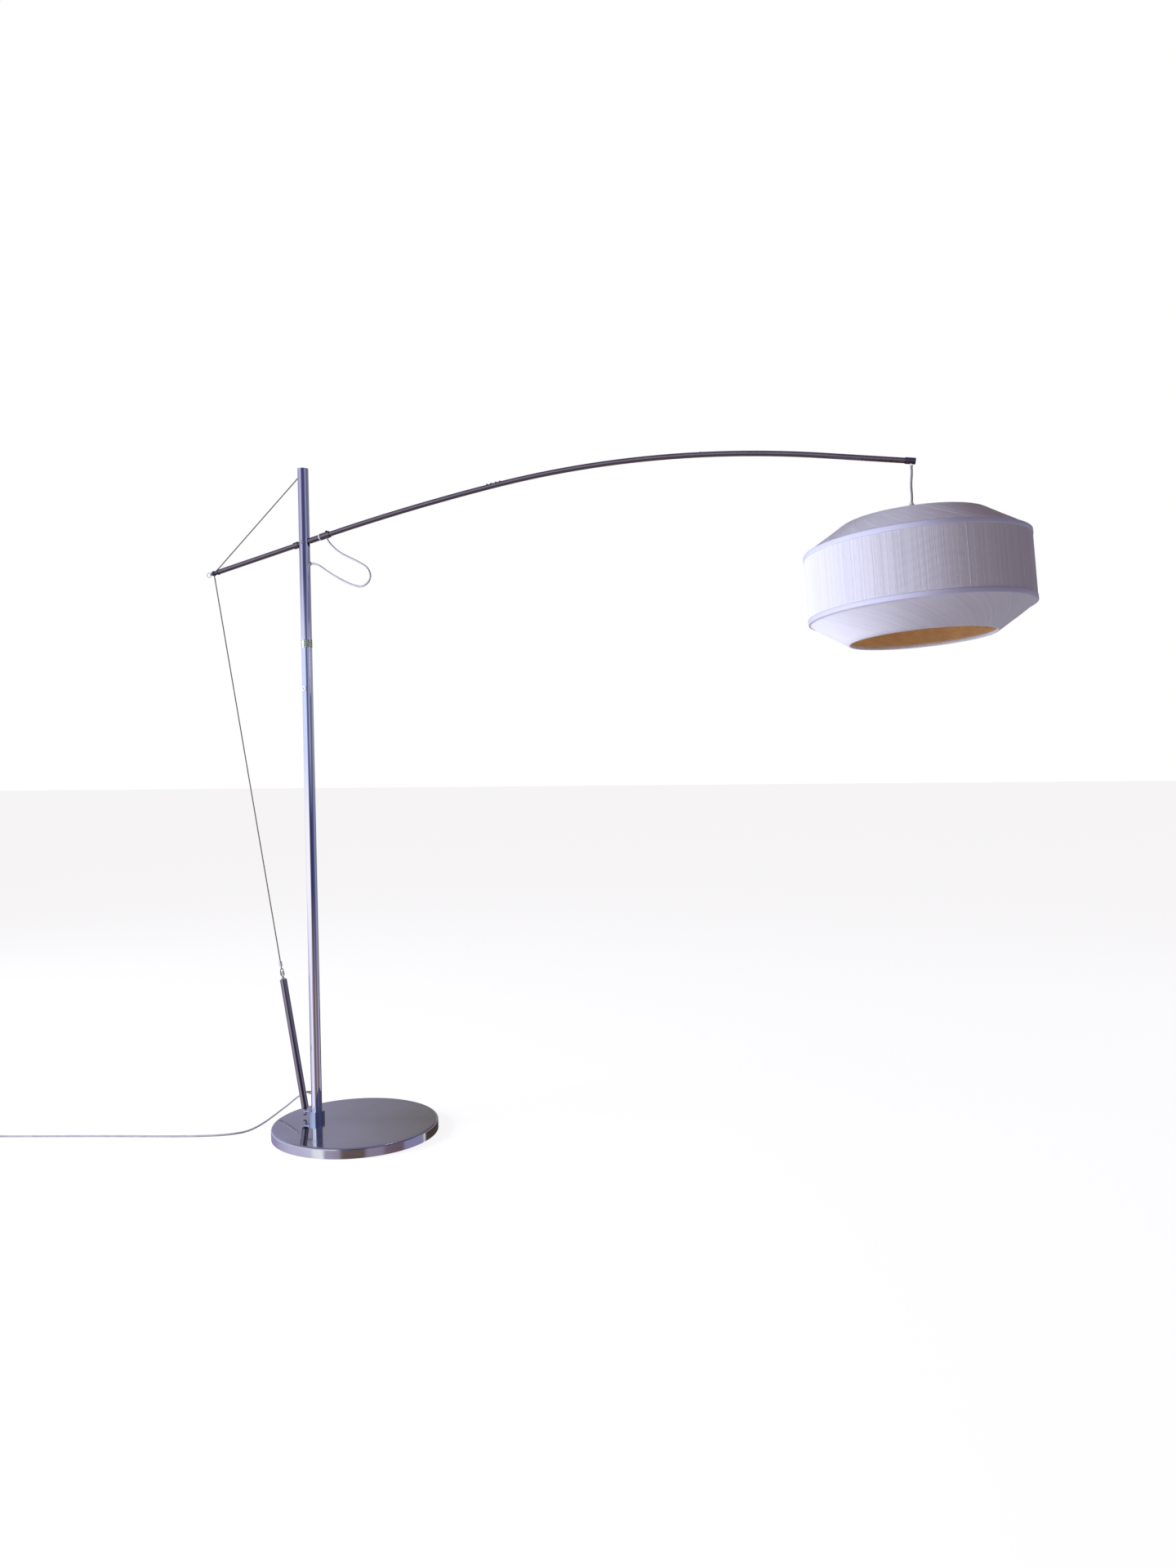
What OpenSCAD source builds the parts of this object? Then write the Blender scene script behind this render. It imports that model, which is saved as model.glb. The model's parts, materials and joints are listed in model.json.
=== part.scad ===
// Arc floor lamp: a tubular mast on a heavy round base carries a long arm that tilts on a pin.
// A stay to the mast's top and a sprung cable to the base's collar balance a string-wound shade.
// Origin: centre of the base's underside. +Z is up, and +X runs under the arm towards the shade.

/* [Base] */
// Diameter of the base disc
base_d = 400; // [320:5:520]
// Height of the base's top above the floor
base_h = 26; // [20:1:40]
// Radius of the base's rounded top edge
base_edge_r = 5; // [2:0.5:8]
// Sheet thickness of the chromed cover
cover_t = 1.2; // [0.8:0.1:2]
// Thickness of the felt pad
felt_t = 1.5; // [1:0.5:4]
// Distance from the base's centre back to the mast
mast_offset = 104; // [70:1:130]
// Thread diameter of the bolt that holds the mast
foot_bolt_d = 10; // [8:1:12]

/* [Mast] */
// Height of the mast's top above the floor
mast_top = 1615; // [1350:5:1950]
// Outside diameter of the mast
mast_d = 26; // [22:0.5:32]
// Wall thickness of the mast tubes
mast_wall = 1.5; // [1:0.1:2.5]
// Height of the joint between the two mast tubes
mast_joint_z = 840; // [700:5:1000]
// Length of the sleeve inside the mast's joint
mast_sleeve_l = 120; // [80:5:200]
// Height of the collar around the mast's foot
collar_h = 20; // [14:1:30]
// Radial thickness of that collar
collar_t = 6; // [4:0.5:9]
// Distance from the mast's axis to the hole in the collar's ear
ear_reach = 30.5; // [27:0.5:40]

/* [Arm] */
// Distance of the arm's pivot below the mast's top
pivot_drop = 178.5; // [150:0.5:230]
// Outside diameter of the arm's tubes
arm_d = 12; // [10:0.5:16]
// Wall thickness of the arm's tubes
arm_wall = 1.2; // [1:0.1:2]
// Upward slope of the arm at its pivot, in degrees
arm_rake = 13.7; // [5:0.1:20]
// Distance from the pivot back to the cable clamp
rear_reach = 258; // [200:1:300]
// Length of the first arm section
section_1_l = 448; // [350:1:550]
// Length of the second arm section
section_2_l = 492; // [400:1:600]
// Length of the curved part of the third arm section
section_3_curve_l = 262; // [180:1:320]
// Length of the straight part of the third arm section
section_3_end_l = 192; // [140:1:260]
// Downward bend of each arm section, in degrees
section_bends = [4.3, 11.4, 6.1];
// Diameter of the pivot screw
pivot_d = 5; // [4:0.5:6]

/* [Counter spring] */
// Outside diameter of the spring's tube
spring_tube_d = 17; // [15:0.5:22]
// Length of the spring's tube
spring_tube_l = 319; // [280:1:400]
// Diameter of the stay and of the lower cable
cable_d = 3; // [2:0.5:4]
// Diameter of the rod that pulls on the spring
pull_rod_d = 5; // [4:0.5:6]
// Wire diameter of the spring
spring_wire_d = 1.8; // [1.4:0.1:2.2]

/* [Shade] */
// Widest diameter of the shade
shade_d = 466; // [380:2:560]
// Diameter of the shade's two mouths
mouth_d = 307; // [240:1:340]
// Height of the shade's upright band
band_h = 144; // [100:1:200]
// Height of each of the shade's two cones
cone_h = 52; // [35:1:80]
// Thickness of the wound string
string_t = 1.4; // [1:0.1:2.5]
// Thickness of the stiff lining inside the frame
lining_t = 0.6; // [0.4:0.1:1]
// Wire diameter of the shade's frame
frame_wire_d = 3; // [2.5:0.1:4]
// Number of upright ribs in the frame
frame_ribs = 6; // [4:1:8]
// Free length of cord between the arm's tip and the lampholder
pendant_l = 76; // [50:1:200]
// How far the shade hangs out of level, in degrees
shade_lean = 4.6; // [0:0.1:7]
// Direction of the shade's high side, in degrees from +X
shade_lean_to = -28; // [-90:1:90]
// Outside diameter of the lampholder
holder_d = 38; // [34:1:42]

/* [Cord] */
// Diameter of the flex
cord_d = 5; // [4.5:0.1:5.5]
// Thickness of the coiled flex across its turns
coil_t = 15; // [12:1:18]
// Diameter of the coil at the middle of its turns
coil_d = 58; // [50:1:62]

/* [Hidden] */
$fn = 64;
arc_fn = 720;
fit = 0.1;
lap = 0.3;
running = 0.05;
hairline = 0.05;
clear = 0.4;

mast_r = mast_d / 2;
mast_bore_r = mast_r - mast_wall;
arm_r = arm_d / 2;
arm_bore_d = arm_d - 2 * arm_wall;
pivot = [-mast_offset, 0, mast_top - pivot_drop];

// Cable geometry: the clamp at the arm's rear end, the ear's hole and the hole near the mast's top
stay_drop = 21;
clamp_pt = pivot - rear_reach * [cos(arm_rake), 0, sin(arm_rake)];
ear_t = 3.5;
ear_pt = [-mast_offset - ear_reach, 0, base_h + collar_h - ear_t / 2];
stay_pt = [-mast_offset - mast_r, 0, mast_top - stay_drop];
cable_lean = atan2(clamp_pt.x - ear_pt.x, clamp_pt.z - ear_pt.z);
cable_l = norm(clamp_pt - ear_pt);
stay_lean = atan2(stay_pt.x - clamp_pt.x, stay_pt.z - clamp_pt.z);
stay_l = norm(stay_pt - clamp_pt);
stay_hole_d = cable_d + 1.2;
stop_d = cable_d + 2.5;
stop_from = 3.8;
clamp_hole_d = cable_d + 4.4;
clamp_l = 15;

// Arm fittings, as distances along the arm from the pivot
joint_0 = 52;
sleeve_span = [16, 42];
coupling_span = [45, 70];
collar_span = [-28, -16];
cord_entry = 61;
tip_hole_back = 7;

// Heights of the mast's fittings
outlet_z = mast_top - 230;
relief_z = base_h + 60;
relief_turn = 155;
relief_l = 20;
grommet_z = mast_joint_z + 242;
grommet_turn = -100;
band_z = [mast_joint_z + 342, mast_joint_z + 361];
screw_drops = [7, 28];
slot_h = arm_d + 9;
slot_w = arm_d + 0.8;

// Angles and starts of the arm's three curved stretches, then of its straight end
stretch_l = [section_1_l, section_2_l, section_3_curve_l];
function stretch_angle(k) = k == 0 ? arm_rake : stretch_angle(k - 1) - section_bends[k - 1];
function stretch_radius(k) = stretch_l[k] * 180 / (PI * section_bends[k]);
function stretch_run(k) = let (a = stretch_angle(k), b = a - section_bends[k])
    stretch_radius(k) * [sin(a) - sin(b), 0, cos(b) - cos(a)];
function stretch_start(k) = k == 0 ? pivot + joint_0 * [cos(arm_rake), 0, sin(arm_rake)]
    : stretch_start(k - 1) + stretch_run(k - 1);
tip_angle = stretch_angle(3);
tip_hole_run = section_3_end_l - tip_hole_back;
tip_hole = stretch_start(3) + tip_hole_run * [cos(tip_angle), 0, sin(tip_angle)];

// Shade measures, downward from the top of the cord grip
bush_z = tip_hole.z - arm_r - 6;
grip_pt = [tip_hole.x, 0, bush_z - pendant_l];
grip_h = 12;
cap_h = 26;
hub_z = -45.5;
cone_a = atan2(cone_h, (shade_d - mouth_d) / 2);
frame_in = string_t + fit + frame_wire_d / 2;
shade_top_z = hub_z + frame_in * cos(cone_a) + frame_wire_d * sin(cone_a);
band_top_z = shade_top_z - cone_h;
band_foot_z = band_top_z - band_h;
shade_foot_z = band_foot_z - cone_h;
fold_l = 6;
fold_in = frame_in + frame_wire_d / 2 + hairline;
tape_t = 0.9;
tape_w = 9.5;
socket_d = 27.4;
socket_depth = 32;
holder_foot_z = -80;
bulb_r = 30;

// Where the free flexes leave the mast, and where the loop enters the arm
outlet_pt = [-mast_offset + mast_r + 3, 0, outlet_z];
entry_pt = pivot + cord_entry * [cos(arm_rake), 0, sin(arm_rake)]
    + (arm_r + 4.2) * [sin(arm_rake), 0, -cos(arm_rake)];
relief_reach = mast_r + relief_l + 2 * hairline;
relief_pt = [-mast_offset + relief_reach * cos(relief_turn), relief_reach * sin(relief_turn), relief_z];

// A shape drawn at the lamp's own size, moved so that it runs from one point to another
function pinned(shape, from, to) = let (n = len(shape) - 1, start = from - shape[0], end = to - shape[n])
    [for (k = [0:n]) shape[k] + start * (1 - k / n) + end * k / n];

// Shape of the loop of flex between the mast and the arm
loop_shape = [
    [-88, 0, 1385], [-79, 0, 1384], [-66, -1, 1379], [-51, -2, 1369], [-35, -4, 1358],
    [-16, -6, 1347], [6, -7, 1335], [27, -8, 1326], [44, -8, 1322], [58, -8, 1325],
    [67, -7, 1333], [71, -6, 1344], [69, -5, 1355], [62, -4, 1366], [50, -3, 1375],
    [36, -2, 1383], [22, -1, 1390], [8, 0, 1397], [-5, 0, 1404], [-18, 0, 1413],
    [-29, 0, 1423], [-37, 0, 1432], [-43, 0, 1441]
];
loop_route = pinned(loop_shape, outlet_pt, entry_pt);

// The coil's centre
coil_pt = [-886, -263, 0];

// Shape of the mains flex from the mast's foot along the floor to the coil
floor_lie = cord_d / 2 + 0.2;
mains_shape = [
    [-134, 14, 86], [-146, 18, 83], [-160, 19, 75], [-176, 15, 63], [-191, 9, 50],
    [-206, -1, 38], [-219, -13, 27], [-232, -28, 17], [-245, -45, 9], [-259, -62, 4],
    [-275, -78, 2.7], [-293, -92, 2.7], [-316, -104, 2.7], [-346, -115, 2.7], [-382, -125, 2.7],
    [-430, -136, 2.7], [-488, -148, 2.7], [-556, -162, 2.7], [-632, -178, 2.7],
    [-712, -196, 2.7], [-788, -213, 2.7], [-850, -226, 2.7], [-892, -234, 2.7]
];
mains_route = [for (p = pinned(mains_shape, relief_pt, coil_pt + [-6, 29, floor_lie]))
    [p.x, p.y, max(p.z, floor_lie)]];

// The route from the coil to the plug
tie_t = 0.8;
tail_route = [
    [-886, -297, 13.3], [-868, -298, 11], [-856, -309, 8], [-853, -324, 7.2], [-853, -336, 7.2]
];
plug_pt = [-853, -336, 0];

// ---- Shared shapes ----

// Upright tube from z = 0
module tube(outer_d, inner_d, h) {
    difference() {
        cylinder(d = outer_d, h = h);
        translate([0, 0, -1]) cylinder(d = inner_d, h = h + 2);
    }
}

// Places children on the mast's axis at height z, with +X turned outwards
module on_mast(z, turn = 0) {
    translate([-mast_offset, 0, z]) rotate([0, 0, turn]) children();
}

// Lays an upright shape along +X
module along_x() {
    rotate([0, 90, 0]) children();
}

// Places children at the pivot, with +X along the arm's straight rear part
module on_rear_arm(run = 0) {
    translate(pivot) rotate([0, -arm_rake, 0]) translate([run, 0, 0]) children();
}

// Places children a distance along one of the arm's curved stretches, with +X along the arm
module on_stretch(k, run = 0) {
    turn = section_bends[k] * run / stretch_l[k];
    r = stretch_radius(k);
    translate(stretch_start(k)) rotate([0, -stretch_angle(k), 0])
        translate([r * sin(turn), 0, -r * (1 - cos(turn))]) rotate([0, turn, 0]) children();
}

// Places children on the arm's straight end
module on_arm_end(run = 0) {
    translate(stretch_start(3)) rotate([0, -tip_angle, 0]) translate([run, 0, 0]) children();
}

// Sweeps a flat section along stretch k of the arm between two distances along it
module along_stretch(k, from, to) {
    r = stretch_radius(k);
    turn = section_bends[k] * (to - from) / stretch_l[k];
    on_stretch(k, from) translate([0, 0, -r]) rotate([90, 0, 0]) rotate([0, 0, 90 - turn])
        rotate_extrude(angle = turn, $fn = arc_fn) translate([r, 0]) children();
}

// Flat section of the arm's tubes, with its wall thinned by a small step on both faces
module arm_section(step = 0) {
    difference() {
        circle(d = arm_d - 2 * step, $fn = 64);
        circle(d = arm_bore_d + 2 * step, $fn = 64);
    }
}

// Quarter bend of flex, a little thinner than its ends: up local Z, then away along local +X
module flex_bend(r) {
    translate([r, 0, 0]) rotate([90, 0, 0]) rotate([0, 0, 90])
        rotate_extrude(angle = 90) translate([r, 0]) circle(d = cord_d - 4 * hairline);
}

// Places children at the ear's hole, with +Z up along the lower cable
module on_cable(run = 0) {
    translate(ear_pt) rotate([0, cable_lean, 0]) translate([0, 0, run]) children();
}

// Places children at the cable clamp, with +Z up along the stay
module on_stay(run = 0) {
    translate(clamp_pt) rotate([0, stay_lean, 0]) translate([0, 0, run]) children();
}

// Places children below the cord grip, leaning as the shade hangs
module on_pendant(z = 0) {
    translate(grip_pt) rotate([0, 0, shade_lean_to]) rotate([0, -shade_lean, 0])
        rotate([0, 0, -shade_lean_to]) translate([0, 0, z]) children();
}

// Places children at the coil's centre
module on_coil() {
    translate(coil_pt) children();
}

// Domed screw head standing on the plane z = 0, with its shank below
module domed_screw(head_d, head_h, shank_d, shank_l) {
    ball_r = (head_d * head_d / 4 + head_h * head_h) / (2 * head_h);
    intersection() {
        translate([0, 0, head_h - ball_r]) sphere(r = ball_r);
        cylinder(d = head_d, h = head_h + 1);
    }
    translate([0, 0, -shank_l]) cylinder(d = shank_d, h = shank_l + head_h / 3);
}

// ---- Sweeping a round section along a route ----

function unit(v) = v / norm(v);
function route_pt(p, i) = p[max(0, min(len(p) - 1, i))];
function smooth_pt(p, i, t) = let (
    a = route_pt(p, i - 1), b = route_pt(p, i), c = route_pt(p, i + 1), d = route_pt(p, i + 2))
    0.5 * ((2 * b) + (c - a) * t + (2 * a - 5 * b + 4 * c - d) * t * t
    + (3 * b - a - 3 * c + d) * t * t * t);
function smooth_route(p, steps) = concat(
    [for (i = [0 : len(p) - 2], s = [0 : steps - 1]) smooth_pt(p, i, s / steps)],
    [p[len(p) - 1]]);
function heading(p, i) = unit(route_pt(p, i + 1) - route_pt(p, i - 1));

module swept(p, d, sides, up) {
    n = len(p);
    rings = [for (i = [0 : n - 1])
        let (t = heading(p, i), u = unit(cross(t, up)), v = cross(u, t))
        for (j = [0 : sides - 1])
            p[i] + d / 2 * (cos(360 * (j + 0.5) / sides) * u + sin(360 * (j + 0.5) / sides) * v)];
    walls = [for (i = [0 : n - 2], j = [0 : sides - 1])
        let (a = i * sides + j, b = i * sides + (j + 1) % sides)
        each [[a, b, a + sides], [b, b + sides, a + sides]]];
    ends = [[for (j = [sides - 1 : -1 : 0]) j], [for (j = [0 : sides - 1]) (n - 1) * sides + j]];
    polyhedron(points = rings, faces = concat(walls, ends), convexity = 10);
}

// ---- Base ----

// Half section of the base disc with a rounded top edge
module base_profile(r, foot, top, edge) {
    translate([0, foot]) square([r - edge, top - foot]);
    translate([0, foot]) square([r, top - foot - edge]);
    intersection() {
        translate([r - edge, top - edge]) circle(r = edge);
        square([r + 1, top + 1]);
    }
}

module base_cover() {
    inner_r = base_d / 2 - cover_t;
    color([0.78, 0.78, 0.82]) difference() {
        rotate_extrude() base_profile(base_d / 2, felt_t, base_h, base_edge_r);
        rotate_extrude() base_profile(inner_r, felt_t - 1, base_h - cover_t, base_edge_r - cover_t);
        on_mast(0) cylinder(d = foot_bolt_d + 2 * fit, h = base_h + 1);
    }
}

module base_weight() {
    weight_r = base_d / 2 - cover_t - clear;
    color([0.25, 0.25, 0.26]) difference() {
        rotate_extrude()
            base_profile(weight_r, felt_t + hairline, base_h - cover_t - fit, base_edge_r);
        on_mast(0) cylinder(d = foot_bolt_d + 2 * fit, h = base_h);
        on_mast(0) cylinder(d = 3 * foot_bolt_d + 2, h = base_h / 2);
    }
}

module base_felt() {
    color([0.13, 0.22, 0.16]) difference() {
        cylinder(d = base_d - 12, h = felt_t);
        on_mast(-1) cylinder(d = 3 * foot_bolt_d + 4, h = felt_t + 2);
    }
}

module foot_bolt() {
    seat = base_h / 2;
    color([0.6, 0.6, 0.62]) on_mast(0) {
        translate([0, 0, seat - 2]) cylinder(d = 2.6 * foot_bolt_d, h = 2);
        translate([0, 0, seat - 9]) cylinder(d = 1.8 * foot_bolt_d, h = 7, $fn = 6);
        translate([0, 0, seat - 2]) cylinder(d = foot_bolt_d, h = base_h - seat + 30);
    }
}

// ---- Mast ----

module foot_collar() {
    outer_d = mast_d + 2 * collar_t;
    color([0.75, 0.75, 0.8]) difference() {
        union() {
            on_mast(base_h) cylinder(d = outer_d, h = collar_h - 1);
            on_mast(base_h) cylinder(d = outer_d - 2, h = collar_h);
            translate(ear_pt - [0, 6, ear_t / 2]) cube([ear_reach, 12, ear_t - 0.5]);
            translate(ear_pt - [0, 0, ear_t / 2]) cylinder(d = 12, h = ear_t - 0.5);
        }
        on_mast(base_h - 1) cylinder(d = mast_d + 2 * fit, h = collar_h + 2);
        translate(ear_pt - [0, 0, ear_t]) cylinder(d = 6, h = 2 * ear_t);
    }
}

module mast_foot_plug() {
    color([0.6, 0.6, 0.62]) on_mast(base_h + hairline)
        tube(2 * (mast_bore_r - running), foot_bolt_d + 2 * fit, 36);
}

module mast_lower() {
    color([0.8, 0.8, 0.85]) difference() {
        on_mast(base_h + hairline) tube(mast_d, 2 * mast_bore_r, mast_joint_z - base_h - hairline);
        on_mast(relief_z, relief_turn) along_x() cylinder(d = cord_d + 1, h = mast_d);
        for (drop = screw_drops)
            on_mast(mast_joint_z - drop, 180) along_x() cylinder(d = 3 + 2 * fit, h = mast_d);
    }
}

module mast_upper() {
    color([0.8, 0.8, 0.85]) difference() {
        on_mast(mast_joint_z) tube(mast_d, 2 * mast_bore_r, mast_top - mast_joint_z);
        translate(pivot - [mast_d, slot_w / 2, (slot_h - slot_w) / 2])
            cube([2 * mast_d, slot_w, slot_h - slot_w]);
        for (side = [-1, 1])
            translate(pivot + [-mast_d, 0, side * (slot_h - slot_w) / 2])
                along_x() cylinder(d = slot_w, h = 2 * mast_d);
        translate(pivot + [0, mast_d, 0]) rotate([90, 0, 0]) cylinder(d = pivot_d + fit, h = 2 * mast_d);
        on_stay(stay_l - mast_r / 2) cylinder(d = stay_hole_d, h = mast_r);
        on_mast(outlet_z) along_x() cylinder(d = cord_d + 1, h = mast_d);
        on_mast(grommet_z, grommet_turn) along_x() cylinder(d = 6, h = mast_d);
    }
}

module mast_sleeve() {
    color([0.55, 0.55, 0.58]) difference() {
        on_mast(mast_joint_z - mast_sleeve_l / 2)
            tube(2 * (mast_bore_r - running), 2 * (mast_bore_r - 2), mast_sleeve_l);
        for (drop = screw_drops)
            on_mast(mast_joint_z - drop, 180) along_x() cylinder(d = 3 + 2 * fit, h = mast_d);
    }
}

module mast_screws() {
    color([0.3, 0.3, 0.33]) for (drop = screw_drops)
        on_mast(mast_joint_z - drop, 180) translate([mast_r + running, 0, 0]) along_x()
            domed_screw(5.5, 1.6, 3, mast_wall + 1.6);
}

module mast_band() {
    color([0.8, 0.9, 0.75, 0.5]) on_mast(band_z[0])
        tube(mast_d + 1.2, mast_d + 2 * hairline, band_z[1] - band_z[0]);
}

module mast_grommet() {
    color([0.93, 0.93, 0.95]) on_mast(grommet_z, grommet_turn) along_x() {
        difference() {
            union() {
                translate([0, 0, mast_r + hairline]) cylinder(d = 13, h = 1.8);
                translate([0, 0, mast_r - mast_wall - 1]) cylinder(d = 5.8, h = mast_wall + 2);
            }
            translate([0, 0, mast_r - 4]) cylinder(d = 3.4, h = 8);
        }
    }
}

module mast_cap() {
    cap_t = 2.2;
    color([0.75, 0.75, 0.8]) on_mast(mast_top - cap_t) {
        cylinder(r = mast_bore_r - running, h = cap_t + 0.4);
    }
}

module pivot_screw() {
    color([0.7, 0.7, 0.75]) translate(pivot - [0, mast_r + hairline, 0]) rotate([90, 0, 0])
        domed_screw(8.5, 2.8, pivot_d, mast_d + 5);
}

module pivot_nut() {
    color([0.7, 0.7, 0.75]) translate(pivot + [0, mast_r + hairline, 0]) rotate([-90, 0, 0])
        difference() {
            union() {
                cylinder(d = 9.2, h = 3.5, $fn = 6);
                intersection() {
                    translate([0, 0, 3]) sphere(d = 7.6);
                    cylinder(d = 9, h = 8);
                }
            }
            translate([0, 0, -1]) cylinder(d = pivot_d + fit, h = 6.2);
        }
}

module pivot_spacers() {
    spacer_r = pivot_d / 2 + 1.6;
    reach = sqrt(mast_bore_r * mast_bore_r - spacer_r * spacer_r) - running;
    color([0.9, 0.88, 0.8]) for (side = [-1, 1])
        translate(pivot) rotate([-90 * side, 0, 0]) translate([0, 0, arm_r + clear])
            tube(2 * spacer_r, pivot_d + fit, reach - arm_r - clear);
}

// ---- Flex ----

module cord_outlet() {
    color([0.9, 0.9, 0.92]) on_mast(outlet_z) translate([mast_r + hairline, 0, 0]) along_x()
        tube(cord_d + 5, cord_d + fit, 2.5);
}

module cord_relief() {
    color([0.9, 0.9, 0.92]) on_mast(relief_z, relief_turn) translate([mast_r + hairline, 0, 0])
        along_x() difference() {
            rotate_extrude() polygon([
                [0, 0], [cord_d / 2 + 3.2, 0], [cord_d / 2 + 3.2, 1.8], [cord_d / 2 + 2, 2.2],
                [cord_d / 2 + 0.7, relief_l], [0, relief_l]]);
            translate([0, 0, -1]) cylinder(d = cord_d + fit, h = relief_l + 2);
        }
}

// Flex inside the mast: in through the relief, up, and out at the outlet
module mast_cord() {
    bend_r = mast_bore_r - 2.5;
    color([0.85, 0.85, 0.87]) union() {
        on_mast(relief_z + bend_r - lap)
            cylinder(d = cord_d, h = outlet_z - relief_z - 2 * (bend_r - lap));
        on_mast(outlet_z - bend_r) flex_bend(bend_r);
        on_mast(outlet_z) translate([bend_r - lap, 0, 0]) along_x()
            cylinder(d = cord_d, h = mast_r + 2.5 - bend_r + lap);
        on_mast(relief_z + bend_r, relief_turn) mirror([0, 0, 1]) flex_bend(bend_r);
        on_mast(relief_z, relief_turn) translate([bend_r - lap, 0, 0]) along_x()
            cylinder(d = cord_d, h = mast_r + relief_l - bend_r + lap);
    }
}

module mains_cord() {
    color([0.9, 0.9, 0.92]) {
        swept(smooth_route(mains_route, 3), cord_d, 8, [0, 0, 1]);
        swept(smooth_route(tail_route, 2), cord_d, 8, [0, 0, 1]);
    }
}

module cord_coil() {
    inner_r = (coil_d - coil_t) / 2;
    round_r = cord_d / 2;
    color([0.88, 0.88, 0.9]) on_coil() rotate_extrude() difference() {
        translate([inner_r, tie_t]) square([coil_t, coil_t]);
        for (x = [0, 1], z = [0, 1])
            translate([inner_r + x * coil_t, tie_t + z * coil_t]) rotate(45)
                square(round_r, center = true);
    }
}

module cord_tie() {
    tie_w = 8;
    gap = 0.5;
    color([0.2, 0.2, 0.2]) on_coil() rotate([0, 0, 150]) translate([coil_d / 2, 0, 0]) difference() {
        translate([-coil_t / 2 - tie_t - gap, -tie_w / 2, 0])
            cube([coil_t + 2 * (tie_t + gap), tie_w, coil_t + 2 * tie_t + hairline]);
        translate([-coil_t / 2 - gap, -tie_w, tie_t - hairline])
            cube([coil_t + 2 * gap, 2 * tie_w, coil_t + 2 * hairline]);
    }
}

// Flat two-pin plug lying on the floor, its pins pointing away along -Y
module plug() {
    plug_w = 28;
    plug_t = 14;
    body_l = 32;
    tail_l = 8;
    pin_gap = 18.6;
    color([0.9, 0.9, 0.92]) translate(plug_pt) rotate([0, 0, -90]) {
        linear_extrude(plug_t) polygon([
            [0, -cord_d], [tail_l, -cord_d - 1], [tail_l + 10, -plug_w / 2],
            [tail_l + body_l, -plug_w / 2], [tail_l + body_l, plug_w / 2],
            [tail_l + 10, plug_w / 2], [tail_l, cord_d + 1], [0, cord_d]]);
        for (side = [-1, 1])
            translate([tail_l + body_l - 1, side * pin_gap / 2, plug_t / 2]) along_x()
                cylinder(d = 4, h = 20);
    }
}

module loop_cord() {
    color([0.9, 0.9, 0.92]) swept(smooth_route(loop_route, 2), cord_d, 8, [0, 1, 0]);
}

// ---- Arm ----

module rear_tube() {
    color([0.72, 0.72, 0.78]) difference() {
        on_rear_arm(-rear_reach + clamp_l) along_x()
            tube(arm_d, arm_bore_d, rear_reach + joint_0 - clamp_l - hairline);
        translate(pivot + [0, arm_d, 0]) rotate([90, 0, 0])
            cylinder(d = pivot_d + 2 * running, h = 2 * arm_d);
    }
}

// Collars on the arm on either side of the mast
module arm_collars() {
    color([0.6, 0.62, 0.7]) {
        on_rear_arm(collar_span[0]) along_x()
            tube(arm_d + 4, arm_d + fit, collar_span[1] - collar_span[0]);
        on_rear_arm(sleeve_span[0]) along_x()
            tube(arm_d + 2, arm_d + fit, sleeve_span[1] - sleeve_span[0]);
    }
}

module coupling_washer() {
    color([0.92, 0.92, 0.94]) on_rear_arm(sleeve_span[1] + hairline) along_x()
        tube(arm_d + 3, arm_d + fit, coupling_span[0] - sleeve_span[1] - 2 * hairline);
}

module front_coupling() {
    color([0.6, 0.62, 0.7]) difference() {
        union() {
            on_rear_arm(coupling_span[0]) along_x()
                cylinder(d = arm_d + 4, h = coupling_span[1] - coupling_span[0]);
            on_rear_arm(coupling_span[1] - 7) translate([0, 0, arm_r]) cylinder(d = 7, h = 4);
        }
        on_rear_arm(coupling_span[0] - 1) along_x()
            cylinder(d = arm_d + 2 * fit, h = coupling_span[1] - coupling_span[0] + 2);
        on_rear_arm(cord_entry) translate([0, 0, -arm_d]) cylinder(d = cord_d + 1, h = arm_d);
    }
}

module arm_section_1() {
    color([0.72, 0.72, 0.78]) difference() {
        along_stretch(0, 0, section_1_l) arm_section();
        on_rear_arm(cord_entry) translate([0, 0, -arm_d]) cylinder(d = cord_d + 1, h = arm_d);
        for (run = [-16, -6])
            on_stretch(0, section_1_l + run) cylinder(d = 2 + fit, h = arm_d);
    }
}

module arm_section_2() {
    color([0.72, 0.72, 0.78]) difference() {
        along_stretch(1, hairline, section_2_l) arm_section();
        for (run = [6, 16])
            on_stretch(1, run) cylinder(d = 2 + fit, h = arm_d);
        on_stretch(1, section_2_l - 6) cylinder(d = 2 + fit, h = arm_d);
    }
}

module arm_section_3() {
    color([0.72, 0.72, 0.78]) difference() {
        union() {
            along_stretch(2, hairline, section_3_curve_l) arm_section();
            on_arm_end(-lap) along_x() linear_extrude(section_3_end_l + lap) arm_section(hairline);
        }
        translate(tip_hole - [0, 0, arm_d]) cylinder(d = cord_d + 1.4, h = arm_d);
    }
}

// Inner sleeves that join the arm's sections
module joint_sleeves() {
    half_l = 22;
    slack = 0.15;
    color([0.55, 0.55, 0.58]) for (k = [0, 1])
        on_stretch(k, stretch_l[k]) difference() {
            translate([-half_l, 0, 0]) along_x()
                tube(arm_bore_d - 2 * slack, cord_d + 1, 2 * half_l);
            for (run = [-16, -6, 6, 16])
                translate([run, 0, 0]) cylinder(d = 2 + 2 * fit, h = arm_d);
        }
}

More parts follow.
